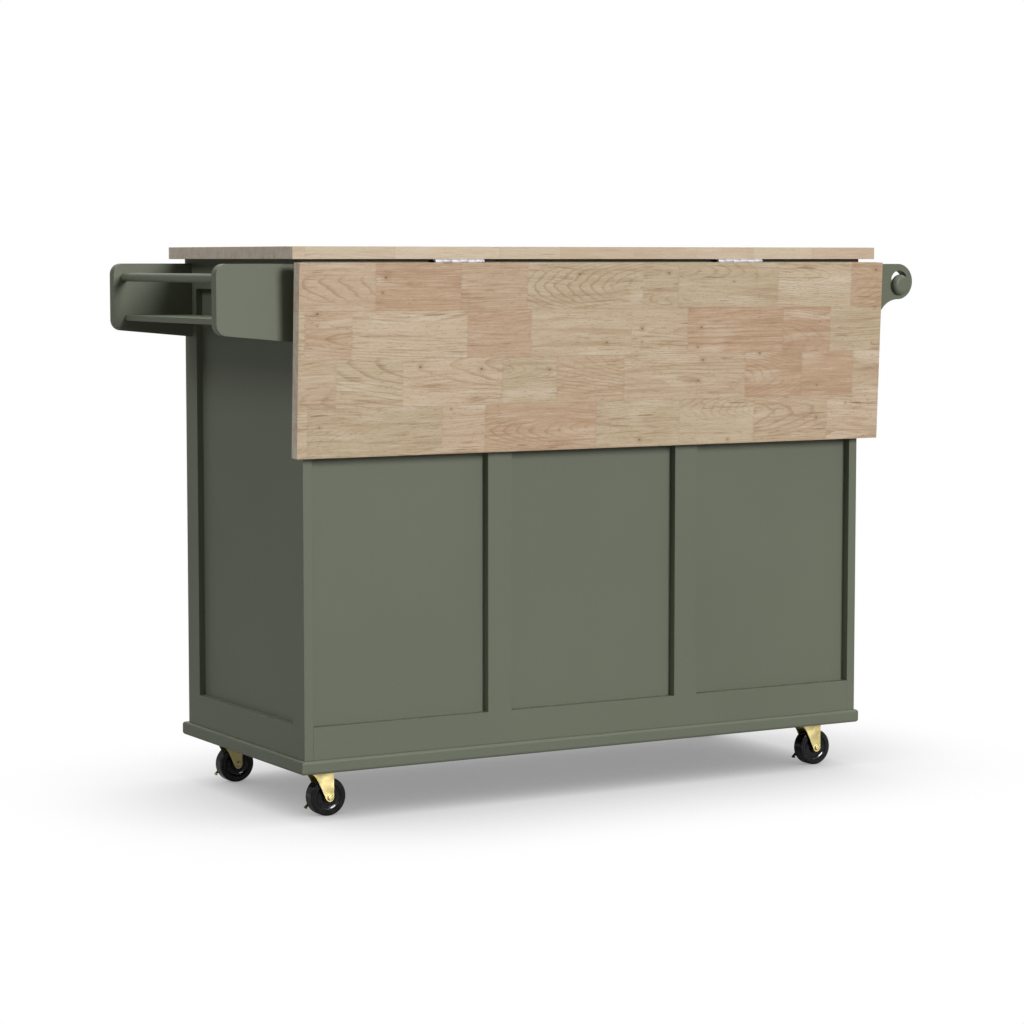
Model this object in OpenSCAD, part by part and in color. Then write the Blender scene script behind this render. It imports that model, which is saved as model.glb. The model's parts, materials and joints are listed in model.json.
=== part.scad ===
// Kitchen island on casters: three bays, a drop leaf at the back, a spice rack
// on one end and a paper roll holder on the other.
// +Z is up, the doors face -Y, the leaf hangs at +Y, the spice rack is at +X.
// Modules draw in the cabinet's own frame, centred on the cabinet, floor at z = 0.
// placed() then shifts all of it so that the origin is under the middle of the whole island.

/* [Cabinet] */
// Width over the two ends
body_w = 1078; // [900:1:1300]
// Depth from the face frame to the back frame
body_d = 455; // [420:1:560]
// Height from the base board to the worktop
body_h = 794.1; // [700:0.1:860]
// Thickness of the end frames
end_t = 16; // [14:0.5:22]
// Width of an end frame's front stile
end_front_stile_w = 46; // [35:1:60]
// Width of an end frame's back stile
end_back_stile_w = 44; // [35:1:60]
// Height of the bottom rails above the base board
bottom_rail_h = 52.6; // [40:0.2:80]
// Height of the top rails under the worktop
top_rail_h = 50; // [40:1:70]
// Thickness of the back frame, which is how deep its panels lie
back_t = 14; // [10:0.5:20]
// Thickness of the recessed back and end panels
panel_t = 5; // [3:0.5:6]
// Thickness of the face frame, the doors and the drawer fronts
face_t = 18; // [16:0.5:22]
// Width of a face frame's outer stiles, without the end frame's edge
face_edge_stile_w = 29; // [20:1:45]
// Width of the middle stiles, at the front and at the back
mid_stile_w = 45; // [36:1:60]
// Thickness of the partitions between the bays
partition_t = 15; // [12:0.5:18]
// Width and height of the cleats that hold the worktop down
cleat_s = 20; // [14:1:30]

/* [Worktop and drop leaf] */
// Thickness of the worktop and of the leaf
top_t = 20; // [16:1:32]
// Overhang of the worktop at each end
top_over_end = 23; // [10:1:30]
// Overhang of the worktop at the front
top_over_front = 15; // [8:1:22]
// Overhang of the worktop at the back
top_over_back = 15; // [12:1:30]
// Width of the leaf from its hinged edge to its free edge
leaf_w = 306; // [250:1:340]
// Gap between the worktop and the raised leaf
leaf_gap = 2.4; // [1:0.1:4]

/* [Leaf hinges] */
// Length of a leaf hinge
hinge_len = 90; // [60:1:120]
// Number of knuckles on a leaf hinge
hinge_knuckles = 6; // [4:2:8]
// Radius of a knuckle
hinge_knuckle_r = 3.5; // [3:0.1:4.5]
// Radius of the hinge pin
hinge_pin_r = 1.6; // [1.2:0.1:2]
// Thickness of a hinge plate
hinge_plate_t = 1.8; // [1.2:0.1:2.2]
// Width of the plate on the leaf
hinge_leaf_plate_w = 26; // [20:1:34]
// Distance between the middles of the two hinges
hinge_spacing = 544; // [480:1:700]
// Offset of the pair of hinges from the middle of the worktop
hinge_offset = -5.5; // [-20:0.5:20]

/* [Leaf stays] */
// Thickness of a stay
stay_t = 8; // [6:0.5:10]
// Width of a stay
stay_w = 28; // [20:1:36]
// Length of a stay between its pivot and the centre of its tip
stay_len = 154; // [130:1:165]
// Depth of the stay's pivot below the hinge pin
stay_drop = 95; // [80:1:110]
// Radius of the stay's pin
stay_pin_r = 2; // [1.5:0.1:2.5]
// Thickness of the ears that hold the pin
stay_ear_t = 2.5; // [2:0.5:4]
// Thickness of the catch plate under the leaf
catch_t = 2.5; // [2:0.1:3]
// Width of the catch plate, away from the hinge
catch_w = 16; // [12:1:24]

/* [Base board] */
// Thickness of the base board
base_t = 22.6; // [18:0.2:30]
// Overhang of the base board at each end
base_over_end = 6.1; // [3:0.1:12]
// Overhang of the base board at the front
base_over_front = 13.9; // [3:0.1:18]
// Overhang of the base board at the back
base_over_back = 4.5; // [3:0.1:12]
// Radius of the base board's upper and lower edges
base_edge_r = 5; // [2:0.5:8]

/* [Casters] */
// Height from the floor to the base board
caster_h = 77.7; // [76:0.1:90]
// Radius of a wheel
wheel_r = 31.3; // [26:0.1:32]
// Gap between a wheel's hub and each leg of its fork
hub_gap = 1.1; // [0.5:0.1:3]
// Height of the tyre outside the rim
wheel_tyre_h = 5; // [4:0.1:6]
// Radius of the rounded shoulders of the tyre
wheel_shoulder_r = 3; // [2:0.5:5]
// Width of the raised rim between the tyre and the dished face
wheel_rim_w = 4.3; // [3:0.1:5]
// How far the rim stands out beside the tyre
wheel_rim_rise = 0.5; // [0.3:0.1:1.2]
// Depth of the dished face
wheel_dish = 3; // [1:0.5:4]
// Width of the hollow that rises from the dish to the rim
wheel_cove_w = 7; // [4:0.5:9]
// Radius of the hub
hub_r = 9.5; // [8:0.5:11]
// Radius of the axle bolt
axle_r = 3; // [2.5:0.1:4]
// Outer width of the fork
fork_w = 33; // [30:0.5:36]
// Thickness of the fork's sheet
fork_t = 2.4; // [2:0.1:3]
// Length of the fork's crown along the travel direction
fork_len = 36; // [34:1:44]
// Radius of the fork's tips round the axle
fork_tip_r = 7.2; // [6.5:0.1:9]
// Distance in front of the axle where the fork's front edge starts to flare
fork_waist_x = 19.5; // [16:0.5:22]
// Height of that point above the axle
fork_waist_z = 25; // [18:0.5:28]
// Distance from the swivel axis to the axle
caster_trail = 10.5; // [6:0.5:16]
// Length of the mounting plate
caster_plate_l = 58; // [50:1:66]
// Width of the mounting plate
caster_plate_w = 44; // [38:1:52]
// Thickness of the mounting plate
caster_plate_t = 2.5; // [2:0.1:3]
// Radius of the ball race
race_r = 18; // [14:0.5:20]
// Radius of the kingpin
kingpin_r = 4; // [3:0.5:5]
// Radius of the kingpin's riveted head
kingpin_head_r = 7; // [6:0.5:8]
// Height of the kingpin's riveted head
kingpin_head_h = 2.6; // [2:0.1:3]
// Distance from the rack end of the cabinet to the swivel axes there
caster_in_rack_end = 51; // [45:1:90]
// Distance from the roll end of the cabinet to the swivel axes there
caster_in_roll_end = 65; // [45:1:90]
// Distance from the front and the back of the cabinet to the swivel axes
caster_in_side = 51; // [45:1:80]
// Thickness of the brake lever
brake_t = 2.2; // [1.6:0.1:2.6]
// Gap between the tread and the toe of the brake lever
brake_gap = 1.6; // [1:0.1:3]
// Length of that toe, outwards from the wheel
brake_toe_l = 2.6; // [2:0.1:4]
// Width of that toe, across the wheel
brake_toe_w = 7.5; // [5:0.5:12]
// Radius of the lever's ring on the axle
brake_ring_r = 7; // [6:0.5:9]
// Angle of the locked brake lever below level
brake_angle = 34; // [24:1:36]

/* [Doors] */
// Gap round a door or a drawer front
door_gap = 2.5; // [2:0.1:4]
// Width of a door's stiles and rails
door_frame_w = 50; // [40:1:65]
// Depth of the recessed panel in a door's front
door_recess = 9; // [6:0.5:10]
// Thickness of a door's panel
door_panel_t = 6; // [4:0.5:6]
// Height of a door hinge
door_hinge_h = 60; // [45:1:80]
// Distance of a door hinge from the top or bottom of its door
door_hinge_in = 70; // [40:1:120]
// Radius of a door hinge's knuckles
door_knuckle_r = 3; // [2.5:0.1:3.5]
// Radius of a door hinge's pin
door_pin_r = 1.4; // [1:0.1:1.6]
// Depth of a door hinge's plates in the gap
door_plate_d = 14; // [10:1:16]
// Height of a door's knob above the base board
door_knob_z = 470; // [150:1:600]
// Radius of a knob
knob_r = 15; // [10:0.5:18]
// Length of a knob
knob_len = 26; // [22:1:34]

/* [Drawers] */
// Height of the opening for the top drawer
top_drawer_h = 150; // [120:1:200]
// Height of the rails between the drawers
drawer_rail_h = 25; // [18:1:35]
// Space between a drawer's box and the back panel
drawer_back_space = 38; // [20:1:120]
// Thickness of a drawer's sides, back and inner front
drawer_side_t = 12; // [9:1:15]
// Thickness of a drawer's bottom
drawer_bottom_t = 6; // [4:0.5:9]
// How much lower a drawer's box is than its front
drawer_box_less = 34; // [24:1:50]
// Width of the space for a slide at each side of a drawer
slide_space = 13; // [12:0.5:16]
// Height of a slide's channel
slide_h = 32; // [24:1:40]
// Thickness of a slide's sheet
slide_t = 1.4; // [1.2:0.1:2]

/* [Shelves] */
// Number of shelves in each outer bay
shelf_count = 2; // [1:1:3]
// Thickness of a shelf
shelf_t = 15; // [12:1:18]
// Gap between a shelf and the parts beside it
shelf_gap = 0.8; // [0.5:0.1:2]
// Length of a shelf clip
clip_l = 22; // [15:1:30]
// Width of a shelf clip's two flanges
clip_w = 12; // [8:1:16]
// Thickness of a shelf clip
clip_t = 2; // [1.5:0.1:2.5]

/* [Spice rack] */
// Reach of the rack beyond the end of the cabinet
rack_reach = 141; // [110:1:170]
// Height of a rack end plate at the cabinet
rack_h = 123.3; // [110:0.1:150]
// How much lower the plate's lower edge is at the cabinet than at its tip
rack_fall = 13; // [0:1:20]
// Thickness of the rack's end plates and of the roll holder's brackets
bracket_t = 18; // [15:1:22]
// Distance of these plates and brackets from the cabinet's front and back
bracket_in = 11; // [5:1:20]
// Radius of a rack plate's outer corners
rack_corner_r = 18; // [8:1:30]
// Depth of the rack's upper edge below the worktop
rack_drop = 7.3; // [4:0.1:20]
// Radius of the rail
rail_r = 7.2; // [5:0.1:9]
// Distance of the rail from the plates' outer edge
rail_in = 19.5; // [16:0.5:28]
// Depth of the rail below the plates' upper edge
rail_drop = 22.6; // [16:0.1:30]
// Thickness of the rack's shelf
rack_shelf_t = 9; // [6:0.5:15]
// Distance of the shelf's edge from the plates' outer edge
rack_shelf_in = 20; // [10:0.5:40]
// Depth of the shelf's underside below the plates' upper edge
rack_shelf_drop = 95.2; // [70:0.1:100]

/* [Paper roll holder] */
// Radius of a bracket's round end
holder_end_r = 31.1; // [29:0.1:34]
// Radius of the sweep under a bracket's arm
holder_sweep_r = 44.2; // [35:0.1:60]
// Depth of a bracket's foot, out from the cabinet
holder_foot_d = 51; // [35:0.5:60]
// Height of a bracket's foot
holder_foot_h = 122; // [114:1:140]
// Radius of the foot's lower corner
holder_corner_r = 12; // [6:1:20]
// Depth of a bracket's upper edge below the worktop
holder_drop = 8.4; // [4:0.1:20]
// Radius of the holes that the rod lies in
holder_hole_r = 17.5; // [15:0.1:20]
// Distance of the holes' centres from the brackets' tips
holder_hole_in = 28.6; // [26:0.1:32]
// Depth of the holes' centres below the brackets' upper edges
holder_hole_drop = 29.2; // [26:0.1:34]
// Radius of the rod
rod_r = 9.5; // [8:0.5:12]
// How far the rod's plain end stands out of its bracket
rod_stand = 6; // [3:0.5:15]
// Radius of the plain end's rounded edge
rod_edge_r = 2; // [0.5:0.5:4]
// Radius of the knob at the rod's other end
rod_knob_r = 18; // [17:0.5:20]
// How far the knob stands out of its bracket
rod_knob_stand = 11; // [9:0.5:20]
// Radius of the knob's rounded outer edge
rod_knob_edge_r = 8; // [1:0.5:8]

/* [Hidden] */

// Colours
PAINT = [0.42, 0.45, 0.38];
WOOD = [0.80, 0.68, 0.54];
PLY = [0.82, 0.74, 0.60];
BRASS = [0.80, 0.68, 0.36];
ZINC = [0.70, 0.70, 0.70];
BLACK = [0.08, 0.08, 0.09];
BRONZE = [0.55, 0.42, 0.22];

// Fits and small clearances. Cuts run past the faces by cut_over.
running_fit = 0.05;
face_fit = 0.3;
side_fit = 0.4;
knob_fit = 0.5;
slide_fit = 0.7;
cut_over = 1;
eps = 0.01;
round_fn = 64;

// Heights
base_z = caster_h;
body_z = base_z + base_t;
top_z = body_z + body_h;
rail_lo_z = body_z + bottom_rail_h;
rail_hi_z = top_z - top_rail_h;

// Half sizes of the cabinet
half_w = body_w / 2;
half_d = body_d / 2;
inner_x = half_w - end_t;

// The three bays have back panels of one width
bay_w = (2 * inner_x - 2 * mid_stile_w) / 3;
mid_x = bay_w / 2 + mid_stile_w / 2;
part_in_x = mid_x - partition_t / 2;
part_out_x = mid_x + partition_t / 2;

// Depths of the boards at the front and at the back
face_back_y = -half_d + face_t;
back_front_y = half_d - back_t;
panel_front_y = back_front_y - panel_t;

// Openings in the face frame
door_open = [mid_x + mid_stile_w / 2, inner_x - face_edge_stile_w];
drawer_open_x = mid_x - mid_stile_w / 2;
open_h = rail_hi_z - rail_lo_z;
deep_drawer_h = (open_h - top_drawer_h - 2 * drawer_rail_h) / 2;
drawer_z = [rail_hi_z - top_drawer_h, rail_lo_z + deep_drawer_h + drawer_rail_h, rail_lo_z];
drawer_h = [top_drawer_h, deep_drawer_h, deep_drawer_h];

// Hinge pin of the leaf, and its depth below the undersides that it joins
pin_drop = hinge_knuckle_r + face_fit;
pin_y = half_d + top_over_back + leaf_gap / 2;
pin_z = top_z - pin_drop;

// A stay's pivot, and the reach of its tip when it stands up under the raised leaf
stay_stand = 1;
stay_y = half_d + stay_stand + stay_t / 2;
stay_z = pin_z - stay_drop;
stay_rise = top_z - face_fit - stay_t / 2 - stay_z;
stay_up_angle = acos(stay_rise / stay_len);
stay_tip_reach = stay_len * sin(stay_up_angle);

// The hanging leaf leans on the tips of the stays
lean_y = pin_y - stay_y;
lean_z = stay_drop + stay_len;
lean_far = sqrt(lean_y * lean_y + lean_z * lean_z);
leaf_tilt = acos((stay_t / 2 + face_fit - pin_drop) / lean_far) - atan2(lean_z, lean_y);
leaf_turn = 90 + leaf_tilt;

// Casters: [rack end or roll end, back or front]
rack_caster_x = half_w - caster_in_rack_end;
roll_caster_x = -half_w + caster_in_roll_end;
caster_y = half_d - caster_in_side;
race_z = base_z - caster_plate_t;
race_h = 3.3;
crown_z = race_z - race_h - face_fit;
kingpin_head_z = crown_z - fork_t - face_fit;
wheel_w = fork_w - 2 * fork_t - 2 * hub_gap;
brake_y = fork_w / 2 + face_fit;
nut_h = 3;
nut_r = 5.6;
bolt_end = 1;
bolt_head_h = 3.4;
bolt_head_r = 4.8;
bolt_head_edge_r = 1.6;

// The whole island's middle, for the origin
rack_tip_x = half_w + rack_reach;
roll_tip_x = -half_w - holder_foot_d - holder_sweep_r - holder_end_r;
leaf_back_y = pin_y + (pin_drop + top_t) * cos(leaf_tilt) - leaf_gap / 2 * sin(leaf_tilt);
knob_tip_y = -half_d - knob_len;
shift_x = (rack_tip_x + roll_tip_x) / 2;
shift_y = (leaf_back_y + knob_tip_y) / 2;

module placed() {
  translate([-shift_x, -shift_y, 0]) children();
}

// A box between pairs of limits
module span(x, y, z) {
  translate([x[0], y[0], z[0]]) cube([x[1] - x[0], y[1] - y[0], z[1] - z[0]]);
}

// The same thing at +X and at -X
module both_ends() {
  children();
  mirror([1, 0, 0]) children();
}

// The same thing at +Y and at -Y
module front_and_back() {
  children();
  mirror([0, 1, 0]) children();
}

// A cylinder along X, or along Y, between two limits
module x_rod(x, y, z, r) {
  translate([x[0], y, z]) rotate([0, 90, 0]) cylinder(h = x[1] - x[0], r = r, $fn = round_fn);
}

module y_rod(x, y, z, r) {
  translate([x, y[0], z]) rotate([-90, 0, 0]) cylinder(h = y[1] - y[0], r = r, $fn = round_fn);
}

// A flat outline in X and Z, as thick as the limits along Y
module y_plate(y) {
  translate([0, y[1], 0]) rotate([90, 0, 0]) linear_extrude(height = y[1] - y[0]) children();
}

module round_rect(w, h, r) {
  translate([r, 0]) square([w - 2 * r, h]);
  translate([0, r]) square([w, h - 2 * r]);
  for (x = [r, w - r]) {
    for (z = [r, h - r]) {
      translate([x, z]) circle(r = r, $fn = round_fn);
    }
  }
}

// Four boards that frame an opening, in the plane of X and Z. The stiles run through.
module board_frame(x, y, z, left_w, right_w, low_h, high_h) {
  span([x[0], x[0] + left_w], y, z);
  span([x[1] - right_w, x[1]], y, z);
  span([x[0] + left_w, x[1] - right_w], y, [z[0], z[0] + low_h]);
  span([x[0] + left_w, x[1] - right_w], y, [z[1] - high_h, z[1]]);
}

// ---------------------------------------------------------------- cabinet

module worktop() {
  color(WOOD) placed()
    span([-half_w - top_over_end, half_w + top_over_end], [-half_d - top_over_front, half_d + top_over_back],
         [top_z, top_z + top_t]);
}

// Rounded over along its four upper and four lower edges
module base_board() {
  board_w = body_w + 2 * base_over_end;
  board_y = [-half_d - base_over_front, half_d + base_over_back];
  board_d = board_y[1] - board_y[0];
  color(PAINT) placed() intersection() {
    translate([-board_w / 2, board_y[1], base_z]) rotate([90, 0, 0])
      linear_extrude(height = board_d) round_rect(board_w, base_t, base_edge_r);
    translate([-board_w / 2, board_y[0], base_z]) rotate([90, 0, 90])
      linear_extrude(height = board_w) round_rect(board_d, base_t, base_edge_r);
  }
}

// Stiles and rails of the end at +X
module end_frame() {
  x = [inner_x, half_w];
  y = [-half_d + end_front_stile_w, half_d - end_back_stile_w];
  span(x, [-half_d, y[0]], [body_z, top_z]);
  span(x, [y[1], half_d], [body_z, top_z]);
  span(x, y, [body_z, rail_lo_z]);
  span(x, y, [rail_hi_z, top_z]);
}

module right_end_frame() {
  color(PAINT) placed() end_frame();
}

module left_end_frame() {
  color(PAINT) placed() mirror([1, 0, 0]) end_frame();
}

module back_frame() {
  y = [back_front_y, half_d];
  color(PAINT) placed() {
    span([-inner_x, inner_x], y, [body_z, rail_lo_z]);
    span([-inner_x, inner_x], y, [rail_hi_z, top_z]);
    both_ends() span([mid_x - mid_stile_w / 2, mid_x + mid_stile_w / 2], y, [rail_lo_z, rail_hi_z]);
  }
}

// The thin panels: one in each end frame, three behind the back frame
module infill_panels() {
  color(PAINT) placed() {
    both_ends() {
      span([inner_x, inner_x + panel_t], [-half_d + end_front_stile_w, half_d - end_back_stile_w],
           [rail_lo_z, rail_hi_z]);
      span([part_out_x, inner_x], [panel_front_y, back_front_y], [body_z, top_z]);
    }
    span([-part_in_x, part_in_x], [panel_front_y, back_front_y], [body_z, top_z]);
  }
}

module face_frame() {
  y = [-half_d, face_back_y];
  color(PAINT) placed() {
    board_frame([-inner_x, inner_x], y, [body_z, top_z], face_edge_stile_w, face_edge_stile_w,
                bottom_rail_h, top_rail_h);
    both_ends() span([mid_x - mid_stile_w / 2, mid_x + mid_stile_w / 2], y, [rail_lo_z, rail_hi_z]);
    for (i = [0, 1]) {
      span([-drawer_open_x, drawer_open_x], y, [drawer_z[i] - drawer_rail_h, drawer_z[i]]);
    }
  }
}

module partitions() {
  color(PLY) placed() both_ends()
    span([part_in_x, part_out_x], [face_back_y, back_front_y], [body_z, top_z]);
}

// Cleats that hold the worktop down, and strips that bring the drawers' slides level with
// the edges of their openings
module cleats_and_runner_blocks() {
  color(PLY) placed() both_ends() {
    for (x = [part_out_x, inner_x - cleat_s]) {
      span([x, x + cleat_s], [face_back_y, panel_front_y], [top_z - cleat_s, top_z]);
    }
    for (i = [0:2]) {
      span([drawer_open_x, part_in_x], [face_back_y, box_back_y],
           [slide_z(i) - slide_h / 2, slide_z(i) + slide_h / 2]);
    }
  }
}

// ---------------------------------------------------------------- shelves

shelf_setback = 10;
shelf_step = body_h / (shelf_count + 1);
clip_in = 1;
clip_y = [-half_d + end_front_stile_w - clip_in - clip_l, half_d - end_back_stile_w + clip_in];

module shelves() {
  color(PLY) placed() both_ends() for (i = [1:shelf_count]) {
    z = body_z + i * shelf_step;
    span([part_out_x + shelf_gap, inner_x - shelf_gap],
         [face_back_y + shelf_setback, panel_front_y - shelf_gap], [z, z + shelf_t]);
  }
}

// Angle clips, screwed to the partitions and to the stiles of the ends
module shelf_clips() {
  color(ZINC) placed() both_ends() for (i = [1:shelf_count]) {
    z = body_z + i * shelf_step;
    for (y = clip_y) {
      span([part_out_x, part_out_x + clip_t], [y, y + clip_l], [z - clip_w, z]);
      span([part_out_x + clip_t, part_out_x + clip_w], [y, y + clip_l], [z - clip_t, z]);
      span([inner_x - clip_t, inner_x], [y, y + clip_l], [z - clip_w, z]);
      span([inner_x - clip_w, inner_x - clip_t], [y, y + clip_l], [z - clip_t, z]);
    }
  }
}

// ---------------------------------------------------------------- knobs

// A turned knob that stands on a face at the front
module knob(x, z) {
  foot_r = knob_r * 0.55;
  neck_r = knob_r * 0.38;
  translate([x, -half_d, z]) rotate([90, 0, 0]) rotate_extrude($fn = round_fn)
    polygon([[0, 0], [foot_r, 0], [foot_r, knob_len * 0.08], [neck_r, knob_len * 0.2],
             [neck_r, knob_len * 0.42], [knob_r * 0.85, knob_len * 0.62], [knob_r, knob_len * 0.72],
             [knob_r, knob_len * 0.82], [knob_r * 0.9, knob_len * 0.92], [knob_r * 0.65, knob_len * 0.98],
             [0, knob_len]]);
}

// ---------------------------------------------------------------- doors

door_x = [door_open[0] + door_gap, door_open[1] - door_gap];
door_z = [rail_lo_z + door_gap, rail_hi_z - door_gap];
door_knob_x = door_x[0] + door_frame_w / 2;
door_pin_x = door_open[1] - door_gap / 2;
door_pin_y = -half_d - door_knuckle_r - face_fit;
door_plate_fit = 0.5;
door_plate_t = (door_gap - door_plate_fit) / 2;
door_hinge_z = [door_z[0] + door_hinge_in, door_z[1] - door_hinge_in - door_hinge_h];
door_knuckles = 3;

// The door at +X: stiles, rails and a recessed panel
module door() {
  board_frame(door_x, [-half_d, face_back_y], door_z, door_frame_w, door_frame_w, door_frame_w, door_frame_w);
  span([door_x[0] + door_frame_w, door_x[1] - door_frame_w],
       [-half_d + door_recess, -half_d + door_recess + door_panel_t],
       [door_z[0] + door_frame_w, door_z[1] - door_frame_w]);
}

// One knuckle of a door hinge, with the web that joins it to its plate
module door_knuckle(i, side) {
  step = door_hinge_h / door_knuckles;
  z = [i * step + face_fit / 2, (i + 1) * step - face_fit / 2];
  translate([door_pin_x, door_pin_y, z[0]]) cylinder(h = z[1] - z[0], r = door_knuckle_r, $fn = round_fn);
  span(side, [door_pin_y, -half_d], z);
}

// The plate at x, with every other knuckle from the first one on
module door_hinge_half(x, first) {
  span(x, [-half_d, -half_d + door_plate_d], [0, door_hinge_h]);
  for (i = [first:2:door_knuckles - 1]) {
    door_knuckle(i, x);
  }
}

// Fixed plates, with the pins riveted in their knuckles
module door_hinge_plates() {
  x = [door_open[1] - door_plate_t, door_open[1]];
  color(BRASS) placed() both_ends() for (z = door_hinge_z) {
    translate([0, 0, z]) {
      door_hinge_half(x, 0);
      translate([door_pin_x, door_pin_y, 0]) cylinder(h = door_hinge_h, r = door_pin_r, $fn = round_fn);
    }
  }
}

module door_hinges() {
  x = [door_x[1], door_x[1] + door_plate_t];
  for (z = door_hinge_z) {
    translate([0, 0, z]) difference() {
      door_hinge_half(x, 1);
      translate([door_pin_x, door_pin_y, 0])
        cylinder(h = door_hinge_h, r = door_pin_r + running_fit, $fn = round_fn);
    }
  }
}

module right_door() {
  color(PAINT) placed() door();
}

module left_door() {
  color(PAINT) placed() mirror([1, 0, 0]) door();
}

module right_door_knob() {
  color(BRASS) placed() knob(door_knob_x, body_z + door_knob_z);
}

module left_door_knob() {
  color(BRASS) placed() knob(-door_knob_x, body_z + door_knob_z);
}

module right_door_hinges() {
  color(BRASS) placed() door_hinges();
}

module left_door_hinges() {
  color(BRASS) placed() mirror([1, 0, 0]) door_hinges();
}

// ---------------------------------------------------------------- drawers

box_x = drawer_open_x - slide_space;
box_inner_x = box_x - drawer_side_t;
box_back_y = panel_front_y - drawer_back_space;
// Height of a drawer's bottom above the lower edges of its sides
bottom_lift = 6;

function box_z(i) = drawer_z[i] + drawer_box_less / 2;
function box_h(i) = drawer_h[i] - drawer_box_less;
function slide_z(i) = drawer_z[i] + drawer_h[i] / 2;

// The fixed channels of the slides
module drawer_rails() {
  color(ZINC) placed() both_ends() for (i = [0:2]) {
    z = slide_z(i) - slide_h / 2;
    difference() {
      span([box_x + slide_fit, drawer_open_x], [face_back_y, box_back_y], [z, z + slide_h]);
      span([box_x, drawer_open_x - slide_t], [face_back_y - cut_over, box_back_y + cut_over],
           [z + slide_t, z + slide_h - slide_t]);
    }
  }
}

module drawer_front(i) {
  color(PAINT) placed()
    span([-drawer_open_x + door_gap, drawer_open_x - door_gap], [-half_d, face_back_y],
         [drawer_z[i] + door_gap, drawer_z[i] + drawer_h[i] - door_gap]);
}

module drawer_box(i) {
  z = [box_z(i), box_z(i) + box_h(i)];
  inner_y = [face_back_y + drawer_side_t, box_back_y - drawer_side_t];
  color(PLY) placed() {
    both_ends() span([box_inner_x, box_x], [face_back_y, box_back_y], z);
    span([-box_inner_x, box_inner_x], [face_back_y, inner_y[0]], z);
    span([-box_inner_x, box_inner_x], [inner_y[1], box_back_y], z);
    span([-box_inner_x, box_inner_x], inner_y, [z[0] + bottom_lift, z[0] + bottom_lift + drawer_bottom_t]);
  }
}

module drawer_knob(i) {
  color(BRASS) placed() knob(0, drawer_z[i] + drawer_h[i] / 2);
}

// The sliding bars that run in the channels
module drawer_slides(i) {
  bar_h = slide_h / 2 - slide_t - slide_fit;
  color(ZINC) placed() both_ends()
    span([box_x, drawer_open_x - slide_t - slide_fit], [face_back_y, box_back_y],
         [slide_z(i) - bar_h, slide_z(i) + bar_h]);
}

// ---------------------------------------------------------------- drop leaf

// What is drawn level, as when the leaf is up, hangs at rest
module hanging() {
  translate([0, pin_y, pin_z]) rotate([-leaf_turn, 0, 0]) translate([0, -pin_y, -pin_z]) children();
}

hinge_x = [hinge_offset - hinge_spacing / 2, hinge_offset + hinge_spacing / 2];
hinge_web_l = 0.6;
hinge_plate_y = hinge_knuckle_r + hinge_web_l;
hinge_plate_in = 0.5;

// Every other knuckle of a leaf hinge, with webs that reach side_y of the pin
module leaf_knuckles(x, first, side_y) {
  step = hinge_len / hinge_knuckles;
  for (i = [first:2:hinge_knuckles - 1]) {
    kx = [x + i * step + face_fit / 2, x + (i + 1) * step - face_fit / 2];
    x_rod(kx, pin_y, pin_z, hinge_knuckle_r);
    span(kx, [min(pin_y, side_y), max(pin_y, side_y)], [top_z - hinge_plate_t, top_z]);
  }
}

// Plates under the worktop, with the pins riveted in their knuckles
module worktop_hinge_plates() {
  plate_y = [half_d + hinge_plate_in, pin_y - hinge_plate_y];
  color(ZINC) placed() for (cx = hinge_x) {
    x = cx - hinge_len / 2;
    span([x, x + hinge_len], plate_y, [top_z - hinge_plate_t, top_z]);
    leaf_knuckles(x, 0, plate_y[1]);
    x_rod([x, x + hinge_len], pin_y, pin_z, hinge_pin_r);
  }
}

module leaf_hinge_plates() {
  plate_y = [pin_y + hinge_plate_y, pin_y + hinge_plate_y + hinge_leaf_plate_w];
  color(ZINC) placed() hanging() for (cx = hinge_x) {
    x = cx - hinge_len / 2;
    difference() {
      union() {
        span([x, x + hinge_len], plate_y, [top_z - hinge_plate_t, top_z]);
        leaf_knuckles(x, 1, plate_y[0]);
      }
      x_rod([x - cut_over, x + hinge_len + cut_over], pin_y, pin_z, hinge_pin_r + running_fit);
    }
  }
}

module drop_leaf() {
  color(WOOD) placed() hanging()
    span([-half_w - top_over_end, half_w + top_over_end],
         [pin_y + leaf_gap / 2, pin_y + leaf_gap / 2 + leaf_w], [top_z, top_z + top_t]);
}

// Thin plates under the leaf that keep the tips of the raised stays from sliding out
module stay_catches() {
  y = stay_y + stay_tip_reach + stay_t / 2 + face_fit;
  color(ZINC) placed() hanging() both_ends()
    span([mid_x - stay_w / 2, mid_x + stay_w / 2], [y, y + catch_w], [top_z - catch_t, top_z]);
}

// ---------------------------------------------------------------- stays

ear_z = 7;
flange_t = 1.5;
ear_x = stay_w / 2 + side_fit;

// The stay at +X, hanging beside the back stile
module stay() {
  x = [mid_x - stay_w / 2, mid_x + stay_w / 2];
  color(WOOD) placed() difference() {
    union() {
      span(x, [stay_y - stay_t / 2, stay_y + stay_t / 2], [stay_z - stay_len, stay_z]);
      x_rod(x, stay_y, stay_z, stay_t / 2);
      x_rod(x, stay_y, stay_z - stay_len, stay_t / 2);
    }
    x_rod([x[0] - cut_over, x[1] + cut_over], stay_y, stay_z, stay_pin_r + running_fit);
  }
}

module right_stay() {
  stay();
}

module left_stay() {
  color(WOOD) translate([-2 * shift_x, 0, 0]) mirror([1, 0, 0]) stay();
}

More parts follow.
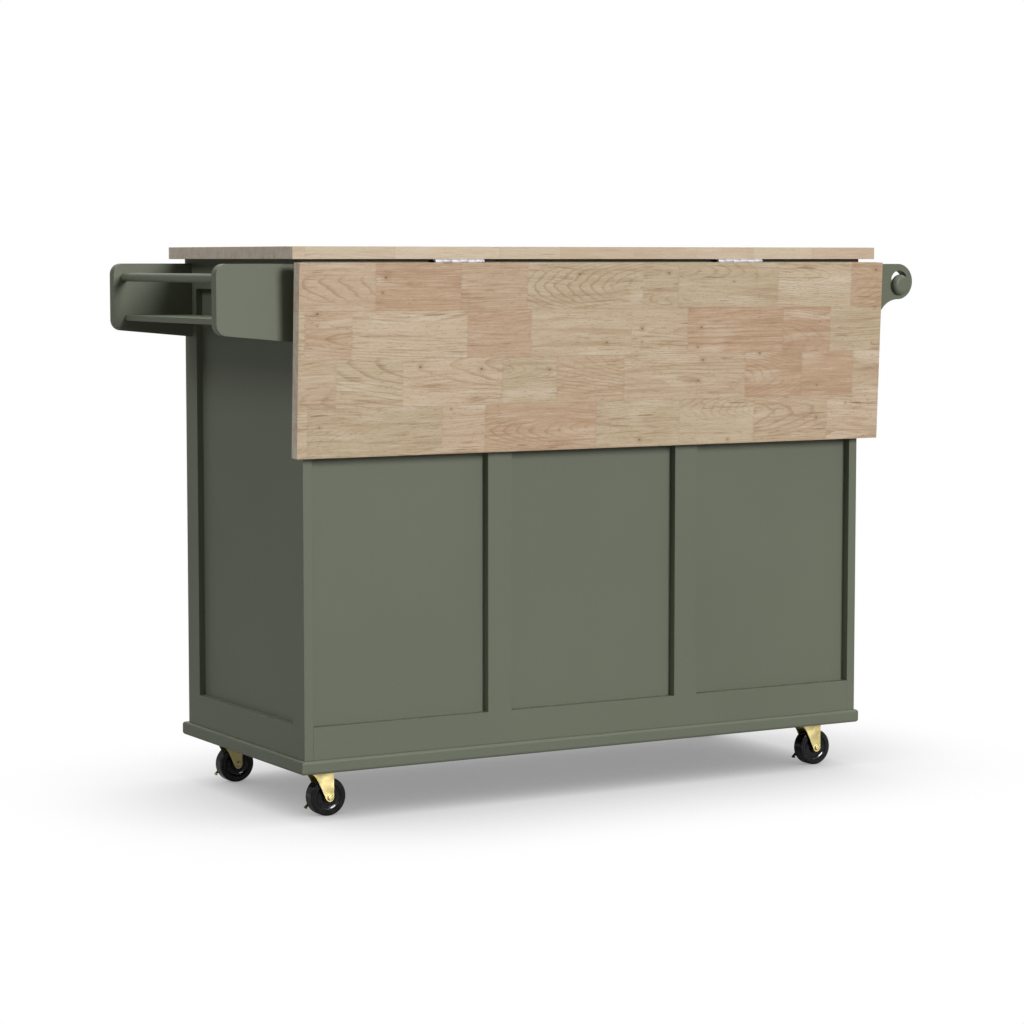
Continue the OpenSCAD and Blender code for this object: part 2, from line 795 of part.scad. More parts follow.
// Ears on the back stiles, with the pins riveted in them
module stay_brackets() {
  color(ZINC) placed() both_ends() translate([mid_x, 0, 0]) {
    x_rod([-ear_x - stay_ear_t, ear_x + stay_ear_t], stay_y, stay_z, stay_pin_r);
    both_ends() {
      span([ear_x, ear_x + stay_ear_t], [half_d, stay_y + stay_t / 2], [stay_z - ear_z, stay_z + ear_z]);
      span([ear_x, mid_stile_w / 2], [half_d, half_d + flange_t], [stay_z - ear_z, stay_z + ear_z]);
    }
  }
}

// ---------------------------------------------------------------- spice rack

bracket_y = [half_d - bracket_in - bracket_t, half_d - bracket_in];
rack_top_z = top_z - rack_drop;
rack_shelf_z = rack_top_z - rack_shelf_drop;

// An end plate seen from the side: level on top, falling towards the cabinet underneath
module rack_outline() {
  slope = atan2(rack_fall, rack_reach);
  wall_low_z = rack_top_z - rack_h;
  corner_x = rack_tip_x - rack_corner_r;
  low_corner_z = wall_low_z + (corner_x - half_w) * tan(slope) + rack_corner_r / cos(slope);
  high_corner_z = rack_top_z - rack_corner_r;
  polygon([[half_w, rack_top_z], [half_w, wall_low_z],
           [corner_x + rack_corner_r * sin(slope), low_corner_z - rack_corner_r * cos(slope)],
           [rack_tip_x, low_corner_z], [rack_tip_x, high_corner_z], [corner_x, rack_top_z]]);
  translate([corner_x, low_corner_z]) circle(r = rack_corner_r, $fn = round_fn);
  translate([corner_x, high_corner_z]) circle(r = rack_corner_r, $fn = round_fn);
}

module spice_rack_plates() {
  color(PAINT) placed() front_and_back() y_plate(bracket_y) rack_outline();
}

module spice_rack_rail() {
  color(PAINT) placed()
    y_rod(rack_tip_x - rail_in, [-bracket_y[0], bracket_y[0]], rack_top_z - rail_drop, rail_r);
}

module spice_rack_shelf() {
  color(PAINT) placed()
    span([half_w, rack_tip_x - rack_shelf_in], [-bracket_y[0], bracket_y[0]],
         [rack_shelf_z, rack_shelf_z + rack_shelf_t]);
}

// ---------------------------------------------------------------- paper roll holder

holder_top_z = top_z - holder_drop;
hole_x = roll_tip_x + holder_hole_in;
hole_z = holder_top_z - holder_hole_drop;
foot_x = -half_w - holder_foot_d;

// A bracket seen from the side: a foot on the cabinet, a swept arm and a round end
module holder_outline() {
  foot_z = holder_top_z - holder_foot_h;
  arm_z = holder_top_z - 2 * holder_end_r;
  end_x = roll_tip_x + holder_end_r;
  translate([foot_x + holder_corner_r, foot_z]) square([holder_foot_d - holder_corner_r, holder_foot_h]);
  translate([foot_x, foot_z + holder_corner_r]) square([holder_foot_d, holder_foot_h - holder_corner_r]);
  translate([foot_x + holder_corner_r, foot_z + holder_corner_r]) circle(r = holder_corner_r, $fn = round_fn);
  translate([end_x, arm_z]) square([foot_x - end_x, 2 * holder_end_r]);
  translate([end_x, arm_z + holder_end_r]) circle(r = holder_end_r, $fn = round_fn);
  translate([end_x, arm_z - holder_sweep_r]) difference() {
    square([holder_sweep_r, holder_sweep_r]);
    circle(r = holder_sweep_r, $fn = round_fn);
  }
}

module roll_holder_brackets() {
  color(PAINT) placed() front_and_back() difference() {
    y_plate(bracket_y) holder_outline();
    y_rod(hole_x, [bracket_y[0] - cut_over, bracket_y[1] + cut_over], hole_z, holder_hole_r);
  }
}

// A round bar's section from one end to the other, rounded over at the far end
module half_section(length, r, edge_r) {
  square([r, length - edge_r]);
  square([r - edge_r, length]);
  translate([r - edge_r, length - edge_r]) intersection() {
    circle(r = edge_r, $fn = round_fn);
    square([edge_r, edge_r]);
  }
}

// The rod lies at the bottom of its holes. It goes in from +Y, up to its knob.
module roll_rod() {
  rod_z = hole_z - (holder_hole_r - rod_r - face_fit);
  knob_y = bracket_y[1] + knob_fit;
  color(PAINT) placed() translate([hole_x, knob_y, rod_z]) {
    rotate([90, 0, 0]) rotate_extrude($fn = round_fn)
      half_section(knob_y + bracket_y[1] + rod_stand, rod_r, rod_edge_r);
    rotate([-90, 0, 0]) rotate_extrude($fn = round_fn)
      half_section(rod_knob_stand - knob_fit, rod_knob_r, rod_knob_edge_r);
  }
}

// ---------------------------------------------------------------- casters

// Each caster stands at its swivel axis
module at_caster(p) {
  placed() translate([p[0], p[1], 0]) children();
}

FRONT_RIGHT = [rack_caster_x, -caster_y];
FRONT_LEFT = [roll_caster_x, -caster_y];
BACK_RIGHT = [rack_caster_x, caster_y];
BACK_LEFT = [roll_caster_x, caster_y];

// Mounting plates, each with its ball race and riveted kingpin
module caster_plates() {
  color(BRASS) for (p = [FRONT_RIGHT, FRONT_LEFT, BACK_RIGHT, BACK_LEFT]) {
    at_caster(p) {
      span([-caster_plate_l / 2, caster_plate_l / 2], [-caster_plate_w / 2, caster_plate_w / 2],
           [race_z, base_z]);
      translate([0, 0, race_z - race_h]) cylinder(h = race_h + eps, r = race_r, $fn = round_fn);
      translate([0, 0, kingpin_head_z]) cylinder(h = race_z - kingpin_head_z, r = kingpin_r, $fn = round_fn);
      translate([0, 0, kingpin_head_z - kingpin_head_h])
        cylinder(h = kingpin_head_h + eps, r = kingpin_head_r, $fn = round_fn);
    }
  }
}

// A leg of the fork from the side, with the axle at the origin. Its rear edge is upright.
// Its front edge runs straight from the round tip to the waist and then flares to the crown.
module leg_outline() {
  top = crown_z - wheel_r;
  waist = [fork_waist_x, fork_waist_z];
  slope = atan2(waist[1], waist[0]) - acos(fork_tip_r / norm(waist));
  normal = [cos(slope), sin(slope)];
  toe = [caster_trail + fork_len / 2, top - fork_t];
  flare = toe - waist;
  flare_r = (flare * flare) / (2 * flare * normal);
  difference() {
    union() {
      polygon([fork_tip_r * normal, waist, toe, [toe[0], top], [caster_trail - fork_len / 2, top],
               [-fork_tip_r, 0]]);
      circle(r = fork_tip_r, $fn = round_fn);
    }
    translate(waist + flare_r * normal) circle(r = flare_r, $fn = 2 * round_fn);
  }
}

// The fork in line with its swivel axis
module fork(p) {
  color(BRASS) at_caster(p) difference() {
    union() {
      span([-fork_len / 2, fork_len / 2], [-fork_w / 2, fork_w / 2], [crown_z - fork_t, crown_z]);
      translate([-caster_trail, 0, wheel_r]) front_and_back()
        y_plate([fork_w / 2 - fork_t, fork_w / 2]) leg_outline();
    }
    translate([0, 0, crown_z - 2 * fork_t])
      cylinder(h = 3 * fork_t, r = kingpin_r + running_fit, $fn = round_fn);
    y_rod(-caster_trail, [-fork_w, fork_w], wheel_r, axle_r + running_fit);
  }
}

// Half of the wheel's section: radius, then distance from the middle plane. From the hub
// it drops to the dish, rises in a hollow to the rim and rounds over at the tyre's shoulder.
function wheel_half() = let (
    hub_y = wheel_w / 2,
    rim_y = hub_y - 1,
    dish_y = rim_y - wheel_dish,
    rim_out_r = wheel_r - wheel_tyre_h,
    rim_in_r = rim_out_r - wheel_rim_w,
    cove = [rim_in_r - wheel_cove_w, rim_y],
    shoulder = [wheel_r - wheel_shoulder_r, rim_y - wheel_rim_rise - wheel_shoulder_r]
  )
  concat(
    [[axle_r + running_fit, hub_y], [hub_r, hub_y], [hub_r + 1, dish_y]],
    [for (a = [0:15:90]) cove + [wheel_cove_w * sin(a), -wheel_dish * cos(a)]],
    [[rim_out_r, rim_y], [rim_out_r, rim_y - wheel_rim_rise]],
    [for (a = [90:-15:0]) shoulder + wheel_shoulder_r * [cos(a), sin(a)]]
  );

module wheel(p) {
  half = wheel_half();
  last = len(half) - 1;
  color(BLACK) at_caster(p) translate([-caster_trail, 0, wheel_r]) rotate([90, 0, 0])
    rotate_extrude($fn = 2 * round_fn)
      polygon(concat(half, [for (i = [last:-1:0]) [half[i][0], -half[i][1]]]));
}

// The bolt, its round head at the back and its hexagon nut outside the brake lever
module axle(p) {
  nut_y = brake_y + brake_t + face_fit;
  color(BRASS) at_caster(p) translate([-caster_trail, 0, wheel_r]) {
    y_rod(0, [-nut_y - nut_h - bolt_end, fork_w / 2 + eps], 0, axle_r);
    translate([0, fork_w / 2, 0]) rotate([-90, 0, 0]) rotate_extrude($fn = round_fn)
      half_section(bolt_head_h, bolt_head_r, bolt_head_edge_r);
    translate([0, -nut_y, 0]) rotate([90, 0, 0]) cylinder(h = nut_h, r = nut_r, $fn = 6);
  }
}

// The lever turns on the axle bolt. It tapers to a toe that reaches in behind the wheel.
module brake(p) {
  y = [-brake_y - brake_t, -brake_y];
  toe_r = wheel_r + brake_gap;
  reach = toe_r + brake_toe_l;
  color(BRONZE) at_caster(p) translate([-caster_trail, 0, wheel_r]) rotate([0, brake_angle, 0]) {
    difference() {
      y_plate(y) {
        circle(r = brake_ring_r, $fn = round_fn);
        polygon([[0, -brake_ring_r], [reach, -brake_t / 2], [reach, brake_t / 2], [0, brake_ring_r]]);
      }
      y_rod(0, [y[0] - cut_over, y[1] + cut_over], 0, axle_r + running_fit);
    }
    span([toe_r, reach], [y[0], y[0] + brake_toe_w], [-brake_t / 2, brake_t / 2]);
  }
}

// ---------------------------------------------------------------- nodes

worktop();
base_board();
left_end_frame();
right_end_frame();
back_frame();
infill_panels();
face_frame();
partitions();
cleats_and_runner_blocks();
shelves();
shelf_clips();
drawer_rails();
door_hinge_plates();
worktop_hinge_plates();
stay_brackets();
spice_rack_plates();
spice_rack_rail();
spice_rack_shelf();
roll_holder_brackets();
roll_rod();
caster_plates();
left_door();
left_door_knob();
left_door_hinges();
right_door();
right_door_knob();
right_door_hinges();
drawer_front(0);  // top_drawer_front
drawer_box(0);  // top_drawer_box
drawer_knob(0);  // top_drawer_knob
drawer_slides(0);  // top_drawer_slides
drawer_front(1);  // middle_drawer_front
drawer_box(1);  // middle_drawer_box
drawer_knob(1);  // middle_drawer_knob
drawer_slides(1);  // middle_drawer_slides
drawer_front(2);  // bottom_drawer_front
drawer_box(2);  // bottom_drawer_box
drawer_knob(2);  // bottom_drawer_knob
drawer_slides(2);  // bottom_drawer_slides
drop_leaf();
leaf_hinge_plates();
stay_catches();
left_stay();
right_stay();
fork(FRONT_RIGHT);  // front_right_fork
wheel(FRONT_RIGHT);  // front_right_wheel
axle(FRONT_RIGHT);  // front_right_axle
brake(FRONT_RIGHT);  // front_right_brake
fork(FRONT_LEFT);  // front_left_fork
wheel(FRONT_LEFT);  // front_left_wheel
axle(FRONT_LEFT);  // front_left_axle
brake(FRONT_LEFT);  // front_left_brake
fork(BACK_RIGHT);  // back_right_fork
wheel(BACK_RIGHT);  // back_right_wheel
axle(BACK_RIGHT);  // back_right_axle
brake(BACK_RIGHT);  // back_right_brake
fork(BACK_LEFT);  // back_left_fork
wheel(BACK_LEFT);  // back_left_wheel
axle(BACK_LEFT);  // back_left_axle
brake(BACK_LEFT);  // back_left_brake
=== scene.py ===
"""Looks for the drop leaf kitchen island: materials, small hardware, studio and camera."""

import json
import math

import bmesh
import bpy
from mathutils import Matrix, Vector


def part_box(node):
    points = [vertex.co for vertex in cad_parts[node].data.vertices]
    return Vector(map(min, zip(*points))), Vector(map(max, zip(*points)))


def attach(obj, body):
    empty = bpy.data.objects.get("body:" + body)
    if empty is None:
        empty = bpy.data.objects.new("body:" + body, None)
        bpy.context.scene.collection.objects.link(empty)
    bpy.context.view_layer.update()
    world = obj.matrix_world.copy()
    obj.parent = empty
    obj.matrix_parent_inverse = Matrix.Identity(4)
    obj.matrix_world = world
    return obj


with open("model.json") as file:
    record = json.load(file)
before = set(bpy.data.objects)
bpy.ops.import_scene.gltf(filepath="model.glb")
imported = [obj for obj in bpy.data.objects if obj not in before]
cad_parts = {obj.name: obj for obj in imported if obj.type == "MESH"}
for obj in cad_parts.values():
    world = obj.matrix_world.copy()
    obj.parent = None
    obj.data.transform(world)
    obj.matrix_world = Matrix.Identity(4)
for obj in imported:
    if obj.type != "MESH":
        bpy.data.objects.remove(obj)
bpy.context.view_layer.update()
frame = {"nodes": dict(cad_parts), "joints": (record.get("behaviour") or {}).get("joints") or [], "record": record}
NODES = frame["nodes"]
JOINTS = {joint["name"]: joint for joint in frame["joints"]}

# ---------------------------------------------------------------- places taken from the frame


def middle(node):
    low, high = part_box(node)
    return (low + high) / 2


CABINET = (middle("left_end_frame") + middle("right_end_frame")) / 2
LEAF_PIN = Vector(JOINTS["leaf_hinge"]["pos_m"])
LEAF_TURN = math.radians(JOINTS["leaf_hinge"]["range_deg"][1])

# ---------------------------------------------------------------- shader helper


class Shader:
    """A Principled material, and short calls that wire nodes in front of it."""

    def __init__(self, name, **settings):
        self.material = bpy.data.materials.new(name)
        self.material.use_nodes = True
        self.tree = self.material.node_tree
        self.principled = self.tree.nodes["Principled BSDF"]
        for socket, value in settings.items():
            self.principled.inputs[socket.replace("_", " ")].default_value = value

    def node(self, kind, settings=None, **inputs):
        made = self.tree.nodes.new("ShaderNode" + kind)
        for key, value in (settings or {}).items():
            setattr(made, key, value)
        for key, value in inputs.items():
            self.feed(made.inputs[key.replace("_", " ")], value)
        return made

    def feed(self, socket, value):
        if isinstance(value, bpy.types.NodeSocket):
            self.tree.links.new(value, socket)
        else:
            socket.default_value = value

    def set(self, socket, value):
        self.feed(self.principled.inputs[socket], value)

    def math(self, operation, a, b=0.0):
        made = self.node("Math", {"operation": operation})
        self.feed(made.inputs[0], a)
        self.feed(made.inputs[1], b)
        return made.outputs[0]

    def vector(self, operation, a, b=(0, 0, 0)):
        made = self.node("VectorMath", {"operation": operation})
        self.feed(made.inputs[0], a)
        self.feed(made.inputs[1], b)
        return made.outputs["Value" if operation == "LENGTH" else "Vector"]

    def here(self):
        return self.node("TexCoord").outputs["Object"]

    def split(self, vector):
        return self.node("SeparateXYZ", Vector=vector).outputs

    def join(self, x, y, z):
        return self.node("CombineXYZ", X=x, Y=y, Z=z).outputs[0]

    def noise(self, vector, scale, detail=3.0, roughness=0.5, distortion=0.0):
        made = self.node("TexNoise", Vector=vector, Scale=scale, Detail=detail, Roughness=roughness,
                         Distortion=distortion)
        return made.outputs["Fac"]

    def dice(self, x, y, seed=0.0):
        """Three random numbers that depend only on x, y and seed."""
        made = self.node("TexWhiteNoise", {"noise_dimensions": "3D"}, Vector=self.join(x, y, seed))
        return self.node("SeparateColor", Color=made.outputs["Color"]).outputs

    def band(self, value, low, high, to_low=0.0, to_high=1.0):
        """A smooth step of value from low to high."""
        made = self.node("MapRange", {"interpolation_type": "SMOOTHSTEP"}, Value=value)
        for key, number in (("From Min", low), ("From Max", high), ("To Min", to_low), ("To Max", to_high)):
            made.inputs[key].default_value = number
        return made.outputs["Result"]

    def ramp(self, value, *stops):
        made = self.node("ValToRGB", Fac=value)
        points = made.color_ramp.elements
        while len(points) < len(stops):
            points.new(0.5)
        for point, (place, colour) in zip(points, stops):
            point.position = place
            point.color = (*colour, 1)
        return made.outputs["Color"]

    def mix(self, share, a, b):
        made = self.node("Mix", {"data_type": "RGBA"})
        for socket, value in ((made.inputs["Factor"], share), (made.inputs[6], a), (made.inputs[7], b)):
            if not isinstance(value, (bpy.types.NodeSocket, float)):
                value = (*value, 1)
            self.feed(socket, value)
        return made.outputs[2]

    def bump(self, height, depth, strength=1.0):
        made = self.node("Bump", Height=height, Distance=depth, Strength=strength)
        self.set("Normal", made.outputs["Normal"])


# ---------------------------------------------------------------- materials

# Colours are linear red, green and blue
PAINT = (0.139, 0.152, 0.109)
PAINT_DARK = (0.130, 0.142, 0.101)


def paint():
    """Satin lacquer on wood: a faint roller texture and a slow drift of tone."""
    s = Shader("sage_paint", Specular_IOR_Level=0.25)
    p = s.here()
    drift = s.noise(p, 3.2, 3.0)
    fine = s.noise(p, 140.0, 2.0)
    tone = s.math("ADD", s.math("MULTIPLY", drift, 0.8), s.math("MULTIPLY", fine, 0.2))
    s.set("Base Color", s.ramp(tone, (0.35, PAINT_DARK), (0.65, PAINT)))
    s.set("Roughness", s.band(s.noise(p, 150.0, 2.0), 0.3, 0.7, 0.39, 0.43))
    roller = s.noise(p, 900.0, 2.0)
    s.bump(roller, 0.00006, 0.35)
    return s.material


# Sizes in metres: a row of blocks, the mean length of a block, and the finger joint between two blocks
WOOD_ROW = 0.0765
WOOD_BLOCK = 0.155
WOOD_FINGER_PITCH = 0.0046
WOOD_FINGER_DEPTH = 0.0042
# How far along its cell a block's joint lies at most, as a share, and how far from a row's and a block's
# end, as shares, the glue's dark line fades and is darkest
WOOD_CUT = 0.62
WOOD_GLUE = (0.010, 0.003)
WOOD_JOINT = (0.006, 0.001)
# Distance between growth rings in the block with the finest and with the coarsest ones
WOOD_RINGS = (0.0028, 0.0066)
# The pith that the rings run round: how much its place differs from block to block, in rows across and in
# metres deep and along, how much it leans to the block, and how far the rings wander
PITH_ACROSS = 1.4
PITH_DEEP = 0.05
PITH_ALONG = 0.3
PITH_LEAN = 0.34
RING_WARP = 0.010
# Places for pin knots in a metre, and the share of them that stays empty
KNOT_PLACES = 21.0
KNOT_NONE = 0.72
# Tones of the blocks, each at its place from 0 to 1
WOOD_TONES = (
    (0.0, (0.480, 0.382, 0.252)),
    (0.26, (0.540, 0.435, 0.304)),
    (0.5, (0.500, 0.382, 0.260)),
    (0.72, (0.490, 0.340, 0.224)),
    (0.88, (0.445, 0.298, 0.192)),
    (1.0, (0.590, 0.476, 0.345)),
)
WOOD_BROWN = (0.32, 0.195, 0.105)
WOOD_DARK = (0.17, 0.10, 0.05)
WOOD_PALE = (0.68, 0.59, 0.47)
WOOD_END = (0.64, 0.60, 0.54)
# How much paler the upright faces of the worktop are painted, as painted light where more light falls on its edges
WORKTOP_EDGE_PAINTED_LIGHT = 0.42


def wood_blocks(s, u, v, rows_from, seed):
    """Rows of finger-jointed blocks along u: two lots of random numbers for each block, and its outline."""
    across = s.math("DIVIDE", s.math("SUBTRACT", v, rows_from), WOOD_ROW)
    row = s.math("FLOOR", across)
    # the zigzag of the finger joints moves each block's end to and fro
    zigzag = s.math("PINGPONG", v, WOOD_FINGER_PITCH / 2)
    zigzag = s.math("MULTIPLY", zigzag, WOOD_FINGER_DEPTH / (WOOD_FINGER_PITCH / 2))
    along = s.math("DIVIDE", s.math("ADD", u, zigzag), WOOD_BLOCK)
    along = s.math("ADD", along, s.math("MULTIPLY", s.dice(row, 0.0, seed)[0], 7.0))
    cell = s.math("FLOOR", along)
    part = s.math("FRACT", along)
    cut = s.math("MULTIPLY", s.dice(cell, row, seed + 1.0)[0], WOOD_CUT)
    block = s.math("SUBTRACT", cell, s.math("LESS_THAN", part, cut))
    glue = s.band(s.math("PINGPONG", across, 0.5), *WOOD_GLUE)
    end = s.math("ABSOLUTE", s.math("SUBTRACT", part, cut))
    outline = s.math("MAXIMUM", glue, s.band(end, *WOOD_JOINT))
    row_part = s.math("FRACT", across)
    return s.dice(block, row, seed + 2.0), s.dice(block, row, seed + 3.0), row_part, outline


def growth_rings(s, u, v, w, row_part, chance, more):
    """Thin dark lines of late wood, drawn out along the block round a pith that leans a little."""
    row_v = s.math("MULTIPLY", s.math("SUBTRACT", row_part, chance[0]), WOOD_ROW * PITH_ACROSS)
    lean = s.math("MULTIPLY", s.math("SUBTRACT", chance[1], 0.5), PITH_LEAN)
    along = s.math("ADD", u, s.math("MULTIPLY", more[1], PITH_ALONG))
    depth = s.math("ADD", w, s.math("MULTIPLY", more[0], PITH_DEEP))
    depth = s.math("ADD", depth, s.math("MULTIPLY", lean, along))
    warp_at = s.join(s.math("MULTIPLY", u, 0.2), v, s.math("ADD", w, s.math("MULTIPLY", chance[2], 9.0)))
    warp = s.math("MULTIPLY", s.math("SUBTRACT", s.noise(warp_at, 30.0, 3.0), 0.5), RING_WARP)
    radius = s.math("ADD", s.vector("LENGTH", s.join(row_v, depth, 0.0)), warp)
    fine, coarse = WOOD_RINGS
    gap = s.math("ADD", s.math("MULTIPLY", more[2], coarse - fine), fine)
    ring = s.math("FRACT", s.math("DIVIDE", radius, gap))
    late = s.math("MULTIPLY", s.band(ring, 0.62, 0.96), s.band(ring, 1.0, 0.98))
    return s.math("MULTIPLY", late, s.band(s.noise(warp_at, 19.0, 2.0), 0.40, 0.68, 0.06, 1.0))


def pin_knots(s, u, v, more):
    """Small dark dots with a soft brown halo: how much dot and how much halo there is."""
    at = s.join(s.math("MULTIPLY", u, 0.8), s.math("ADD", v, more[0]), 0.0)
    cells = s.node("TexVoronoi", {"feature": "F1", "voronoi_dimensions": "2D"}, Vector=at, Scale=KNOT_PLACES)
    luck = s.split(cells.outputs["Color"])
    there = s.math("GREATER_THAN", luck[0], KNOT_NONE)
    size = s.math("ADD", s.math("MULTIPLY", luck[1], 0.9), 0.35)
    far = s.math("DIVIDE", cells.outputs["Distance"], size)
    dot = s.math("MULTIPLY", there, s.band(far, 0.055, 0.020))
    halo = s.math("MULTIPLY", there, s.band(far, 0.20, 0.03))
    return dot, halo


def butcher_block(name, rows_from, pivot=(0, 0, 0), turn=0.0, seed=1.0, painted_edge_light=0.0):
    """Finger-jointed hardwood blocks in rows along X. Each block has its own tone and growth rings.

    Upright faces are painted paler than the flat ones, as painted light where more light falls on the edges; how
    much is given by the last argument.
    """
    s = Shader(name, Specular_IOR_Level=0.22)
    p = s.vector("SUBTRACT", s.here(), tuple(pivot))
    p = s.node("VectorRotate", {"rotation_type": "X_AXIS"}, Vector=p, Angle=turn).outputs[0]
    u, v, w = s.split(p)
    chance, more, row_part, outline = wood_blocks(s, u, v, rows_from, seed)
    late = growth_rings(s, u, v, w, row_part, chance, more)
    dot, halo = pin_knots(s, u, v, more)

    # fibres, streaks and pores are long and thin along the block
    deep = s.math("ADD", w, s.math("MULTIPLY", chance[1], 5.0))
    wave = s.math("MULTIPLY", s.noise(s.join(s.math("MULTIPLY", u, 0.5), v, deep), 9.0, 1.0), 0.02)
    bent = s.math("ADD", v, wave)
    fibre_at = s.join(s.math("MULTIPLY", u, 0.050), bent, deep)
    fibre = s.noise(fibre_at, 340.0, 4.0, 0.72)
    grit = s.noise(s.join(s.math("MULTIPLY", u, 0.14), bent, deep), 620.0, 2.0, 0.6)
    streak = s.noise(fibre_at, 85.0, 3.0, 0.62, 0.3)
    patch = s.noise(s.join(s.math("MULTIPLY", u, 0.22), bent, deep), 34.0, 2.0)
    pores = s.band(s.noise(s.join(s.math("MULTIPLY", u, 0.20), v, deep), 700.0, 1.0), 0.64, 0.74)
    dashes = s.band(s.noise(s.join(s.math("MULTIPLY", u, 0.055), bent, deep), 260.0, 1.0), 0.70, 0.78)

    colour = s.ramp(chance[2], *WOOD_TONES)
    colour = s.mix(s.math("MULTIPLY", s.band(streak, 0.48, 0.76), 0.42), colour, WOOD_BROWN)
    colour = s.mix(s.math("MULTIPLY", s.band(patch, 0.55, 0.78), 0.50), colour, WOOD_PALE)
    vivid = s.band(s.noise(s.join(s.math("MULTIPLY", u, 0.4), v, deep), 26.0, 2.0), 0.36, 0.64, 0.16, 0.72)
    colour = s.mix(s.math("MULTIPLY", s.band(fibre, 0.49, 0.68), vivid), colour, WOOD_BROWN)
    colour = s.mix(s.math("MULTIPLY", s.band(fibre, 0.48, 0.30), 0.36), colour, WOOD_PALE)
    colour = s.mix(s.math("MULTIPLY", s.band(grit, 0.55, 0.75), 0.45), colour, WOOD_BROWN)
    colour = s.mix(s.math("MULTIPLY", late, 0.58), colour, WOOD_BROWN)
    colour = s.mix(s.math("MULTIPLY", halo, 0.35), colour, WOOD_BROWN)
    marks = s.math("MAXIMUM", s.math("MULTIPLY", pores, 0.42), s.math("MULTIPLY", dashes, 0.62))
    marks = s.math("MAXIMUM", marks, s.math("MULTIPLY", dot, 0.75))
    marks = s.math("MAXIMUM", marks, s.math("MULTIPLY", outline, 0.22))
    colour = s.mix(marks, colour, WOOD_DARK)
    # end grain is greyer, and upright faces are painted paler, as painted light on the edges
    facing = s.split(s.node("TexCoord").outputs["Normal"])
    if painted_edge_light:
        # painted light: upright faces are mixed towards pale wood
        lit_edge_share = s.band(s.math("ABSOLUTE", facing[2]), 0.9, 0.6)
        colour = s.mix(s.math("MULTIPLY", lit_edge_share, painted_edge_light), colour, WOOD_PALE)
    end_grain = s.band(s.math("ABSOLUTE", facing[0]), 0.6, 0.9)
    blotches = s.noise(s.join(s.math("MULTIPLY", u, 0.1), v, w), 75.0, 3.0, 0.6)
    colour = s.mix(s.math("MULTIPLY", end_grain, s.band(blotches, 0.56, 0.68, 0.0, 0.30)), colour, WOOD_BROWN)
    colour = s.mix(s.math("MULTIPLY", end_grain, s.band(blotches, 0.60, 0.36, 0.30, 0.62)), colour, WOOD_END)
    s.set("Base Color", colour)
    s.set("Roughness", s.band(fibre, 0.3, 0.7, 0.58, 0.74))
    relief = s.math("SUBTRACT", s.math("MULTIPLY", fibre, 0.5), s.math("MAXIMUM", pores, outline))
    s.bump(relief, 0.00012, 0.5)
    return s.material


def plain_wood(name, light, dark, grain):
    """Unfinished board with its grain along the given axis, 0 for X to 2 for Z."""
    s = Shader(name, Roughness=0.6, Specular_IOR_Level=0.35)
    parts = list(s.split(s.here()))
    parts[grain] = s.math("MULTIPLY", parts[grain], 0.05)
    at = s.join(*parts)
    figure = s.noise(at, 34.0, 4.0, 0.55, 0.8)
    fibre = s.noise(at, 420.0, 3.0, 0.6)
    colour = s.ramp(figure, (0.32, dark), (0.62, light))
    colour = s.mix(s.math("MULTIPLY", s.band(fibre, 0.5, 0.75), 0.25), colour, tuple(0.7 * c for c in dark))
    s.set("Base Color", colour)
    s.bump(fibre, 0.00015, 0.4)
    return s.material


def plated(name, colour, dark, roughness, brushed=0.0, dents=0.0):
    """Plated sheet metal: a slow drift of tone, faint smears, fine scratches and dents of a given depth."""
    s = Shader(name, Metallic=1.0)
    p = s.here()
    smear = s.noise(p, 60.0, 4.0, 0.6)
    x, y, z = s.split(p)
    scratch = s.noise(s.join(s.math("MULTIPLY", x, 0.12), y, z), 2600.0, 2.0, 0.7)
    s.set("Base Color", s.ramp(smear, (0.30, dark), (0.62, colour)))
    tone = s.math("ADD", s.math("MULTIPLY", smear, 0.6), s.math("MULTIPLY", scratch, 0.4))
    s.set("Roughness", s.band(tone, 0.3, 0.7, roughness - 0.05, roughness + 0.09))
    relief = s.math("ADD", s.math("MULTIPLY", scratch, 0.00002 + 0.00002 * brushed),
                    s.math("MULTIPLY", s.noise(p, 34.0, 1.0), dents))
    s.bump(relief, 1.0)
    return s.material


def wheel_plastic():
    """Gloss black moulded plastic, a little dusty."""
    s = Shader("gloss_wheel", Specular_IOR_Level=0.5)
    p = s.here()
    dust = s.noise(p, 90.0, 4.0, 0.65)
    s.set("Base Color", s.ramp(dust, (0.40, (0.005, 0.005, 0.006)), (0.78, (0.013, 0.013, 0.014))))
    s.set("Roughness", s.band(dust, 0.35, 0.75, 0.09, 0.20))
    s.bump(s.noise(p, 300.0, 2.0), 0.00002, 0.1)
    return s.material


BIRCH_LIGHT = (0.62, 0.50, 0.35)
BIRCH_DARK = (0.50, 0.38, 0.24)

# The material for each of the record's slots
MATERIALS = {
    "paint": paint(),
    "brass": plated("brass_plate", (0.86, 0.74, 0.36), (0.70, 0.58, 0.25), 0.40, dents=0.0022),
    "zinc": plated("zinc_plate", (0.44, 0.45, 0.47), (0.30, 0.31, 0.33), 0.58, 1.0),
    "bronze": plated("bronze_plate", (0.40, 0.30, 0.14), (0.28, 0.20, 0.09), 0.40),
    "tyre": wheel_plastic(),
    "ply": plain_wood("birch_board", BIRCH_LIGHT, BIRCH_DARK, 0),
}
WORKTOP_WOOD = butcher_block("worktop_blocks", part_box("worktop")[0].y, seed=4.0, painted_edge_light=WORKTOP_EDGE_PAINTED_LIGHT)
LEAF_WOOD = butcher_block("leaf_blocks", 0.0, pivot=LEAF_PIN, turn=LEAF_TURN, seed=9.0)
STAY_WOOD = plain_wood("stay_hardwood", (0.52, 0.40, 0.26), (0.43, 0.31, 0.19), 2)
UPRIGHT_PLY = plain_wood("upright_birch_board", BIRCH_LIGHT, BIRCH_DARK, 2)

